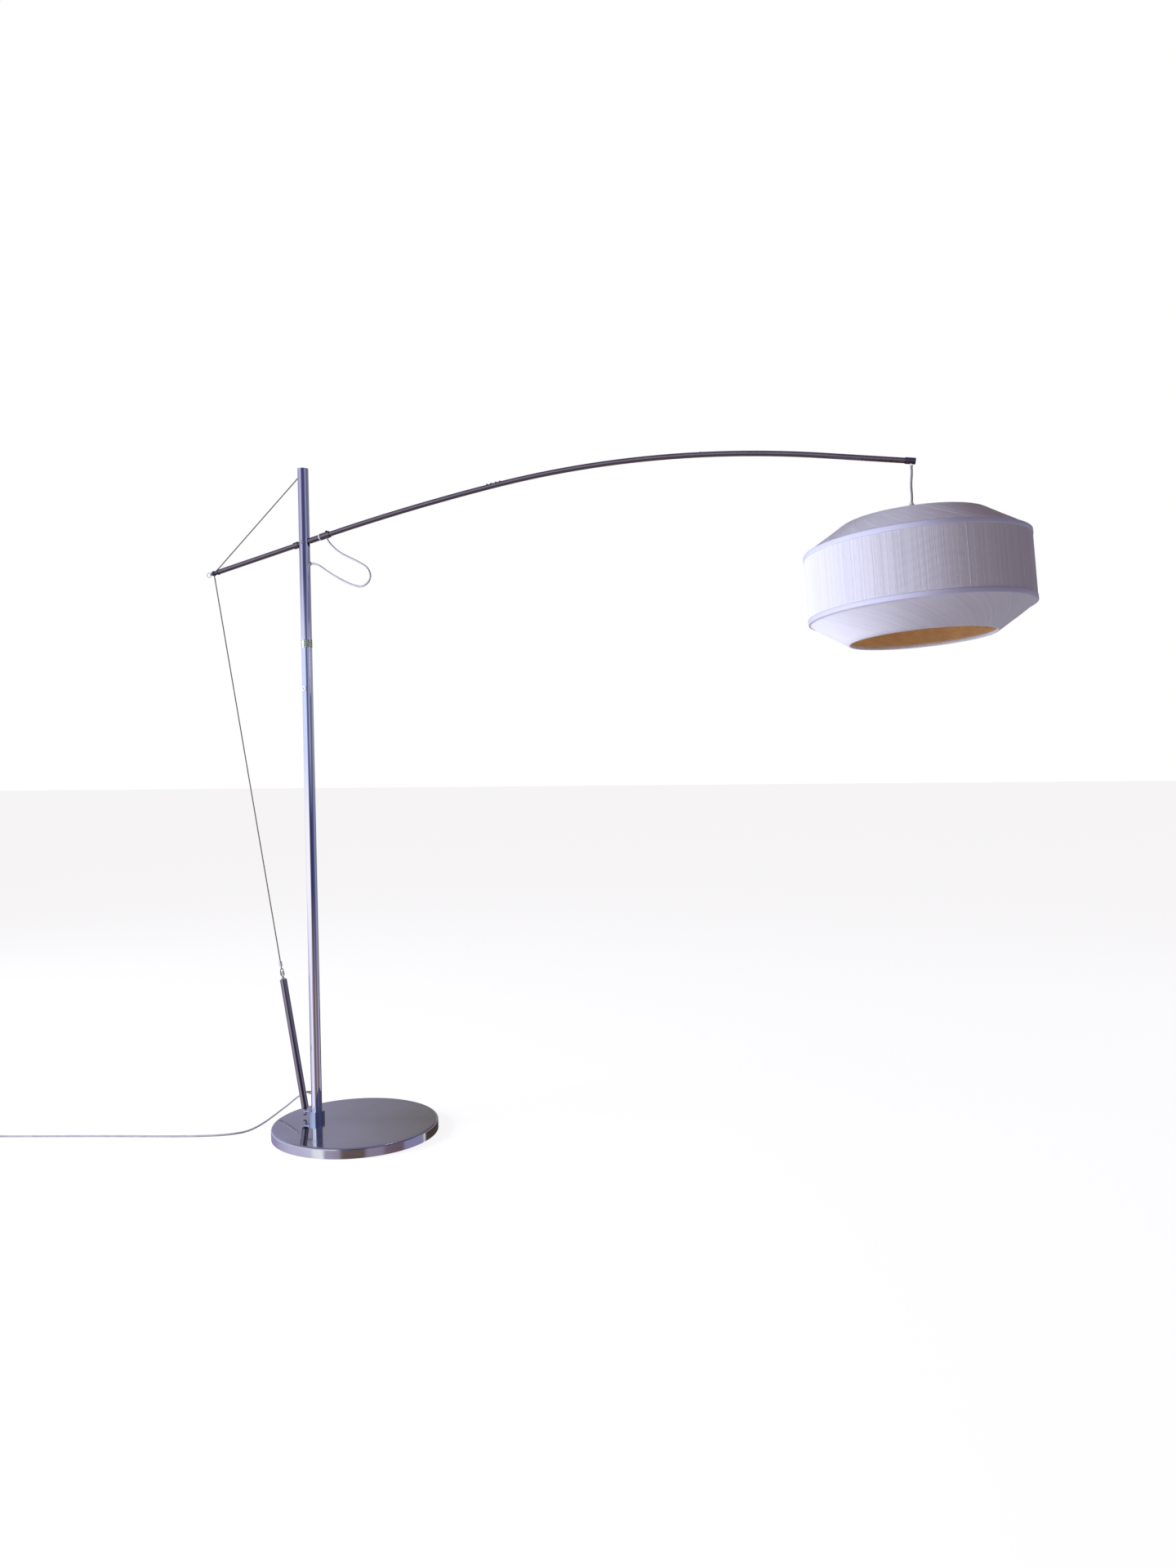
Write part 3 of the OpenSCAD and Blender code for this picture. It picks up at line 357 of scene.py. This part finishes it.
looks = {
    "chrome": chrome("chrome", (0.80, 0.80, 0.85), 0.035, 0.06, 8),
    "base_chrome": base_material(),
    # The arm's chrome takes a dark base colour: painted shade for the dark room it reflects, not a darker metal
    "arm_chrome_painted_shade": chrome("arm_chrome_painted_shade", (0.23, 0.20, 0.235), 0.22, 0.32, 30),
    # The spring tube's chrome takes a dark base colour: painted shade for the dark side it reflects, not a darker
    # metal
    "tube_chrome_painted_shade": chrome("tube_chrome_painted_shade", (0.27, 0.24, 0.26), 0.07, 0.12, 20),
    "foot_chrome": chrome("foot_chrome", (0.62, 0.66, 0.82), 0.05, 0.1, 30),
    "steel": material("steel", (0.55, 0.55, 0.58), 1.0, 0.32),
    "dark_steel": chrome("dark_steel", (0.13, 0.12, 0.18), 0.26, 0.4, 60),
    "iron": material("iron", (0.09, 0.09, 0.095), 0.6, 0.6),
    "felt": material("felt", (0.03, 0.07, 0.045), 0.0, 0.95),
    "white_flex": flex_material("white_flex", (0.70, 0.68, 0.72)),
    "grey_flex": flex_material("grey_flex", (0.42, 0.41, 0.43)),
    "white_plastic": flex_material("white_plastic", (0.80, 0.79, 0.82)),
    "clear_plastic": material("clear_plastic", (0.72, 0.80, 0.66), 0.0, 0.15, Transmission_Weight=0.7, IOR=1.46),
    "dark_plastic": material("dark_plastic", (0.03, 0.03, 0.032), 0.0, 0.5),
    "cable_sheath": flex_material("cable_sheath", (0.27, 0.25, 0.20)),
    "string": string_material(),
    "tape": material("tape", (0.78, 0.78, 0.95), 0.25, 0.42, Sheen_Weight=0.2),
    "lining": flex_material("lining", (0.84, 0.62, 0.36)),
    "white_wire": material("white_wire", (0.8, 0.79, 0.76), 0.0, 0.4),
    "bulb_glass": material("bulb_glass", (0.9, 0.88, 0.84), 0.0, 0.25, Transmission_Weight=0.3),
}
OWN_LOOKS = {"base_cover": "base_chrome", "foot_collar": "foot_chrome", "spring_tube": "tube_chrome_painted_shade",
             "mast_cap": "dark_steel"}
ARM_NODES = ("rear_tube", "arm_section_1", "arm_section_2", "arm_section_3", "arm_collars", "front_coupling")
for arm_node in ARM_NODES:
    OWN_LOOKS[arm_node] = "arm_chrome_painted_shade"


def paint_nodes():
    for part in record["subparts"]:
        obj = nodes[part["node"]]
        look = looks[OWN_LOOKS.get(part["node"], part["material_slot"])]
        obj.data.materials.clear()
        obj.data.materials.append(look)


paint_nodes()
for piece in flex_pieces[:2]:
    piece.data.materials.append(looks["white_flex"])
flex_pieces[2].data.materials.append(looks["grey_flex"])
stay_piece.data.materials.append(looks["cable_sheath"])
spring_piece.data.materials.clear()
spring_piece.data.materials.append(looks["steel"])

# ---- Shade ----

TIP = Vector(joints["pendant_plumb"]["pos_m"])
PENDANT_L = 0.076
GRIP_AT = Vector((TIP.x, 0, joints["shade_swing"]["pos_m"][2] - PENDANT_L))
LEAN = math.radians(4.6)
LEAN_TO = math.radians(-28)
TO_SHADE = (Matrix.Translation(GRIP_AT) @ Matrix.Rotation(LEAN_TO, 4, "Z")
            @ Matrix.Rotation(-LEAN, 4, "Y") @ Matrix.Rotation(-LEAN_TO, 4, "Z"))
SHADE_R = 0.233
MOUTH_R = 0.1535
TOP_Z = -0.04135
CONE_H = 0.052
BAND_H = 0.144
BAND_TOP = TOP_Z - CONE_H
BAND_FOOT = BAND_TOP - BAND_H
FOOT_Z = BAND_FOOT - CONE_H
CONE_A = math.atan2(CONE_H, SHADE_R - MOUTH_R)
# The ring of string round a mouth, and how far the string goes up inside it
LIP_R = 0.0033
FOLD_L = 0.006
# One thread's cross section as (place across it, height) pairs, what makes a few threads stand out, and how much
# darker the valleys between threads are painted, as painted shade
THREAD_STEPS = ((-0.5, 0.0), (-0.27, 0.75), (0.0, 1.0), (0.27, 0.75))
PROUD_SHARE = 0.03
PROUD_SIZE = 1.7
VALLEY_PAINTED_SHADE = 0.7


def wound_skin(name, profile, threads, skew, depth, seed):
    """A skin of threads side by side along a profile of (radius, height, outward tilt) rows."""
    rng = random.Random(seed)
    rows = len(profile)
    pitch = math.tau / threads
    verts, faces, tones_and_painted_light = [], [], []
    ribs = []
    for _ in range(threads):
        proud = rng.random() < PROUD_SHARE
        # A proud thread takes the lightest tone, 1.0: a painted glint on top of its real rise
        ribs.append((rng.uniform(-0.12, 0.12), PROUD_SIZE if proud else rng.uniform(0.75, 1.1),
                     1.0 if proud else rng.uniform(0.3, 0.75)))
    for i, (shift, size, shade) in enumerate(ribs):
        for place, lift in THREAD_STEPS:
            for row, (r, z, out_r, out_z, along) in enumerate(profile):
                angle = pitch * (i + 0.5 + place + (shift if lift else 0)) + skew * along
                height = depth * (size * lift - 1)
                rr, zz = r + height * out_r, z + height * out_z
                verts.append(TO_SHADE @ Vector((rr * math.cos(angle), rr * math.sin(angle), zz)))
                # Valley points take a darker tone than the thread's crest: painted shade between the threads
                tones_and_painted_light.append(shade if lift else shade * VALLEY_PAINTED_SHADE)
    columns = threads * len(THREAD_STEPS)
    for c in range(columns):
        d = (c + 1) % columns
        for row in range(rows - 1):
            faces.append((c * rows + row, d * rows + row, d * rows + row + 1, c * rows + row + 1))
    obj = mesh_piece(name, verts, faces)
    layer = obj.data.color_attributes.new("thread", "FLOAT_COLOR", "POINT")
    layer.data.foreach_set("color", [v for s in tones_and_painted_light for v in (s, s, s, 1.0)])
    obj.data.materials.append(looks["string"])
    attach(obj, "shade")
    return obj


def band_profile():
    """Straight down the band, from its top edge to its foot."""
    spans = 6
    return [(SHADE_R, BAND_TOP + (BAND_FOOT - BAND_TOP) * i / spans, 1, 0, i / spans) for i in range(spans + 1)]


def cone_profile(upper):
    """From the band's edge along the cone, round the mouth's ring and a little way up inside."""
    sign = 1 if upper else -1
    edge_z, mouth_z = (BAND_TOP, TOP_Z) if upper else (BAND_FOOT, FOOT_Z)
    out = (math.sin(CONE_A), sign * math.cos(CONE_A))
    rows = []
    count = 8
    for i in range(count + 1):
        t = i / count
        rows.append((SHADE_R + (MOUTH_R - SHADE_R) * t, edge_z + (mouth_z - edge_z) * t, *out, t))
    inward = (-math.cos(CONE_A), sign * math.sin(CONE_A))
    centre = (MOUTH_R - LIP_R * out[0], mouth_z - LIP_R * out[1])
    for i in range(1, 8):
        a = math.pi * i / 7
        nx = math.cos(a) * out[0] + math.sin(a) * inward[0]
        nz = math.cos(a) * out[1] + math.sin(a) * inward[1]
        rows.append((centre[0] + LIP_R * nx, centre[1] + LIP_R * nz, nx, nz, 1))
    last = rows[-1]
    rows.append((last[0] - FOLD_L * inward[0], last[1] - FOLD_L * inward[1], last[2], last[3], 1))
    return rows


def turned(name, outline, segments, look, closed=True):
    """A ring turned about the shade's axis from an outline of (radius, height) points."""
    count = len(outline)
    verts = [TO_SHADE @ Vector((r * math.cos(math.tau * s / segments), r * math.sin(math.tau * s / segments), z))
             for s in range(segments) for r, z in outline]
    faces = []
    for s in range(segments):
        e = (s + 1) % segments
        for i in range(count if closed else count - 1):
            j = (i + 1) % count
            faces.append((s * count + i, e * count + i, e * count + j, s * count + j))
    obj = mesh_piece(name, verts, faces)
    obj.data.materials.append(look)
    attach(obj, "shade")
    return obj


def seam_tape(name, upper):
    """Folded tape over the edge of the band: most of it on the band, a little on the cone."""
    sign = 1 if upper else -1
    edge = BAND_TOP if upper else BAND_FOOT
    t = 0.0011
    w = 0.0095
    on_cone = 0.0022
    r = SHADE_R
    out = (math.sin(CONE_A), math.cos(CONE_A))
    inward = (-math.cos(CONE_A), math.sin(CONE_A))
    outline = [
        (r - 0.0002, -w), (r + 0.6 * t, -w), (r + t, -w + 0.8 * t), (r + 1.15 * t, -w / 2), (r + t, -t),
        (r + t * 0.8 + t * 0.1, 0.0004),
        (r + on_cone * 0.4 * inward[0] + t * out[0], on_cone * 0.4 * inward[1] + t * out[1]),
        (r + on_cone * inward[0] + t * out[0], on_cone * inward[1] + t * out[1]),
        (r + 1.3 * on_cone * inward[0], 1.3 * on_cone * inward[1]), (r - 0.0006, 0.0),
    ]
    return turned(name, [(a, edge + sign * b) for a, b in outline], 180, looks["tape"])


def make_shade():
    """The wound string of the band and both cones, and the tapes along the band's edges."""
    band = wound_skin("string_band", band_profile(), 930, 0.0, 0.00055, 3)
    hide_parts("band_skin")
    top = wound_skin("string_top", cone_profile(True), 760, math.radians(-24), 0.0005, 5)
    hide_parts("top_skin")
    bottom = wound_skin("string_bottom", cone_profile(False), 760, math.radians(30), 0.0005, 7)
    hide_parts("bottom_skin")
    upper = seam_tape("tape_upper", True)
    seam_tape("tape_lower", False)
    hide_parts("shade_tapes")


make_shade()

# ---- Stage ----


def make_floor():
    size = 30
    floor = mesh_piece("floor", [(-size, -size, 0), (size, -size, 0), (size, size, 0), (-size, size, 0)],
                       [(0, 1, 2, 3)], False)
    floor.data.materials.append(material("floor", (0.34, 0.34, 0.35), 0.0, 0.9, Specular_IOR_Level=0.0,
                                         Emission_Color=(1, 1, 1, 1), Emission_Strength=0.86))
    floor.visible_glossy = False
    floor.visible_diffuse = False


def soft_light(name, at, aim, size, power, color):
    """A soft panel of light that polished metal does not show."""
    data = bpy.data.lights.new(name, "AREA")
    data.shape = "RECTANGLE"
    data.size, data.size_y = size
    data.energy = power
    data.color = color
    light = link(bpy.data.objects.new(name, data))
    light.location = at
    light.rotation_euler = (Vector(aim) - Vector(at)).to_track_quat("-Z", "Y").to_euler()
    light.visible_glossy = False
    return light


# The room that polished metal reflects, as bands of height: where each starts and ends as the height of a
# direction of length 1, and its ring of colours by degrees round from +X
ROOM_BANDS = [
    # down to the floor
    (-1.0, -0.40, [(0, (0.22, 0.17, 0.18)), (180, (0.34, 0.30, 0.32))]),
    # low, as the base's rim and the mast's foot see it
    (-0.32, -0.20, [
        (-180, (0.52, 0.48, 0.66)), (-168, (0.60, 0.57, 0.76)), (-128, (0.70, 0.68, 0.86)), (-122, (0.95, 0.98, 1.0)),
        (-110, (0.95, 0.98, 1.0)), (-106, (0.40, 0.37, 0.47)), (-87, (0.36, 0.32, 0.40)), (-82, (0.14, 0.105, 0.10)),
        (-54, (0.14, 0.10, 0.10)), (-48, (0.30, 0.27, 0.34)), (-28, (0.28, 0.24, 0.32)), (-22, (0.17, 0.125, 0.15)),
        (2, (0.15, 0.11, 0.13)), (8, (0.27, 0.25, 0.40)), (42, (0.28, 0.26, 0.42)), (44, (0.80, 0.86, 0.80)),
        (46, (0.80, 0.86, 0.80)), (48, (0.07, 0.05, 0.045)), (112, (0.06, 0.045, 0.04)), (124, (0.28, 0.24, 0.44)),
        (160, (0.36, 0.32, 0.52))]),
    # level with the eye, lower half of the mast
    (-0.11, -0.05, [
        (-180, (0.93, 0.92, 1.0)), (-92, (0.93, 0.92, 1.0)), (-84, (0.19, 0.17, 0.25)), (-72, (0.06, 0.05, 0.12)),
        (-50, (0.03, 0.03, 0.09)), (-20, (0.05, 0.05, 0.15)), (5, (0.09, 0.10, 0.21)), (20, (0.25, 0.27, 0.41)),
        (35, (0.24, 0.26, 0.40)), (50, (0.17, 0.18, 0.23)), (90, (0.17, 0.17, 0.20)), (122, (0.50, 0.50, 0.55)),
        (150, (0.76, 0.73, 0.78))]),
    # middle of the mast
    (0.01, 0.09, [
        (-180, (0.66, 0.73, 0.95)), (-92, (0.66, 0.73, 0.95)), (-86, (0.17, 0.19, 0.30)), (-79, (0.16, 0.18, 0.29)),
        (-66, (0.08, 0.09, 0.19)), (-56, (0.08, 0.09, 0.19)), (-48, (0.32, 0.35, 0.54)), (-36, (0.30, 0.33, 0.52)),
        (-22, (0.20, 0.24, 0.38)), (-8, (0.09, 0.10, 0.19)), (5, (0.12, 0.13, 0.21)), (25, (0.22, 0.22, 0.28)),
        (40, (0.32, 0.32, 0.35)), (75, (0.29, 0.28, 0.30)), (110, (0.27, 0.26, 0.31)), (122, (0.50, 0.55, 0.68)),
        (140, (0.60, 0.66, 0.80))]),
    # the mast's top and the arm
    (0.15, 0.25, [
        (-180, (0.30, 0.30, 0.46)), (-128, (0.50, 0.50, 0.72)), (-112, (0.42, 0.42, 0.60)),
        (-105, (0.13, 0.12, 0.22)), (-92, (0.08, 0.07, 0.15)), (-60, (0.05, 0.05, 0.13)),
        (-40, (0.08, 0.09, 0.19)), (-28, (0.24, 0.26, 0.42)),
        (-12, (0.27, 0.29, 0.46)), (2, (0.10, 0.11, 0.20)), (30, (0.15, 0.15, 0.21)), (75, (0.22, 0.20, 0.24)),
        (110, (0.22, 0.20, 0.26)), (128, (0.34, 0.33, 0.46)), (150, (0.40, 0.40, 0.56))]),
    # above, as the base's top sees it
    (0.27, 0.45, [
        (-180, (0.55, 0.62, 0.85)), (-92, (0.85, 0.95, 1.0)), (-84, (0.07, 0.07, 0.16)), (30, (0.06, 0.06, 0.13)),
        (60, (0.08, 0.07, 0.08)), (109, (0.13, 0.12, 0.10)), (113, (0.18, 0.17, 0.165)), (117, (0.26, 0.25, 0.31)),
        (121, (0.30, 0.29, 0.41)), (140, (0.31, 0.30, 0.44))]),
    # the ceiling
    (0.70, 1.0, [(0, (0.19, 0.17, 0.24)), (180, (0.26, 0.25, 0.33))]),
]
ROOM_GLOW = 1.22


def mixed(tree, fac, low, high):
    """A mix of two colours, each a fixed one or a node's output."""
    node = tree.nodes.new("ShaderNodeMix")
    node.data_type = "RGBA"
    tree.links.new(fac, node.inputs[0])
    for socket, source in ((node.inputs[6], low), (node.inputs[7], high)):
        if isinstance(source, tuple):
            socket.default_value = (*source, 1)
        else:
            tree.links.new(source, socket)
    return node.outputs[2]


def stepped(tree, value, start, end):
    """0 below start, 1 above end, and a straight rise between."""
    node = tree.nodes.new("ShaderNodeMapRange")
    node.inputs["From Min"].default_value = start
    node.inputs["From Max"].default_value = end
    tree.links.new(value, node.inputs["Value"])
    return node.outputs["Result"]


def ring_ramp(tree, around, stops):
    """A ring of colours, closed where it meets itself behind -X."""
    places = sorted(((degrees + 180) / 360, color) for degrees, color in stops)
    if places[-1][0] < 1:
        places.append((1.0, places[0][1]))
    ramp = tree.nodes.new("ShaderNodeValToRGB")
    elements = ramp.color_ramp.elements
    elements[0].position, elements[1].position = places[0][0], places[-1][0]
    elements[0].color, elements[1].color = (*places[0][1], 1), (*places[-1][1], 1)
    for place, color in places[1:-1]:
        elements.new(place).color = (*color, 1)
    tree.links.new(around, ramp.inputs["Fac"])
    return ramp.outputs["Color"]


def background(tree, color, strength):
    node = tree.nodes.new("ShaderNodeBackground")
    node.inputs["Strength"].default_value = strength
    if isinstance(color, tuple):
        node.inputs["Color"].default_value = (*color, 1)
    else:
        tree.links.new(color, node.inputs["Color"])
    return node.outputs[0]


# The same light seen by matt surfaces: from below on the window's side and on the other, and from above
LOW_NEAR_WINDOW = (0.84, 0.83, 0.93)
LOW_FAR_SIDE = (0.10, 0.075, 0.09)
FROM_ABOVE = (0.18, 0.135, 0.155)
WALL = (1.0, 1.0, 1.0)


def make_world():
    """White to the eye, a soft mauve room as a light, and a dark room with a window in polished metal."""
    world = bpy.data.worlds.new("studio")
    bpy.context.scene.world = world
    world.use_nodes = True
    tree = world.node_tree
    tree.nodes.clear()
    coords = tree.nodes.new("ShaderNodeTexCoord").outputs["Generated"]
    around = tree.nodes.new("ShaderNodeTexGradient")
    around.gradient_type = "RADIAL"
    tree.links.new(coords, around.inputs["Vector"])
    split = tree.nodes.new("ShaderNodeSeparateXYZ")
    tree.links.new(coords, split.inputs[0])
    height = split.outputs["Z"]
    room = ring_ramp(tree, around.outputs["Fac"], ROOM_BANDS[0][2])
    for below, band in zip(ROOM_BANDS[:-1], ROOM_BANDS[1:]):
        room = mixed(tree, stepped(tree, height, below[1], band[0]), room,
                     ring_ramp(tree, around.outputs["Fac"], band[2]))
    low = mixed(tree, stepped(tree, split.outputs["X"], -0.55, 0.5), LOW_NEAR_WINDOW, LOW_FAR_SIDE)
    ambient = mixed(tree, stepped(tree, height, -0.3, 0.2), low, FROM_ABOVE)
    rays = tree.nodes.new("ShaderNodeLightPath")
    shown = background(tree, ambient, 1.0)
    for is_ray, other in (("Is Glossy Ray", background(tree, room, ROOM_GLOW)),
                          ("Is Camera Ray", background(tree, WALL, 1.0))):
        choose = tree.nodes.new("ShaderNodeMixShader")
        tree.links.new(rays.outputs[is_ray], choose.inputs[0])
        tree.links.new(shown, choose.inputs[1])
        tree.links.new(other, choose.inputs[2])
        shown = choose.outputs[0]
    out = tree.nodes.new("ShaderNodeOutputWorld")
    tree.links.new(shown, out.inputs["Surface"])


def light_lamp():
    """A window on the left, a little light into the shade's mouth and from low in front, a cool far edge."""
    soft_light("window", (-2.95, -1.72, 1.5), (0.9, 0, 1.2), (1.6, 2.2), 188, (0.77, 0.84, 1.0))
    bounce = soft_light("floor_bounce", (1.32, 0, 1.02), (1.32, 0, 1.2), (0.1, 0.1), 0.5, (1.0, 0.93, 0.86))
    bounce.data.spread = math.radians(62)
    glow = soft_light("low_glow", (0.2, -1.9, 0.15), (1.3, -0.1, 1.15), (1.2, 0.5), 12, (0.88, 0.86, 1.0))
    for light in (bounce, glow):
        light.visible_camera = False
    soft_light("cool_edge", (4.6, 1.3, 1.3), (1.3, 0, 1.2), (1.2, 1.8), 18, (0.72, 0.80, 1.0))


make_floor()
make_world()
bpy.context.scene.view_settings.view_transform = "Standard"
light_lamp()
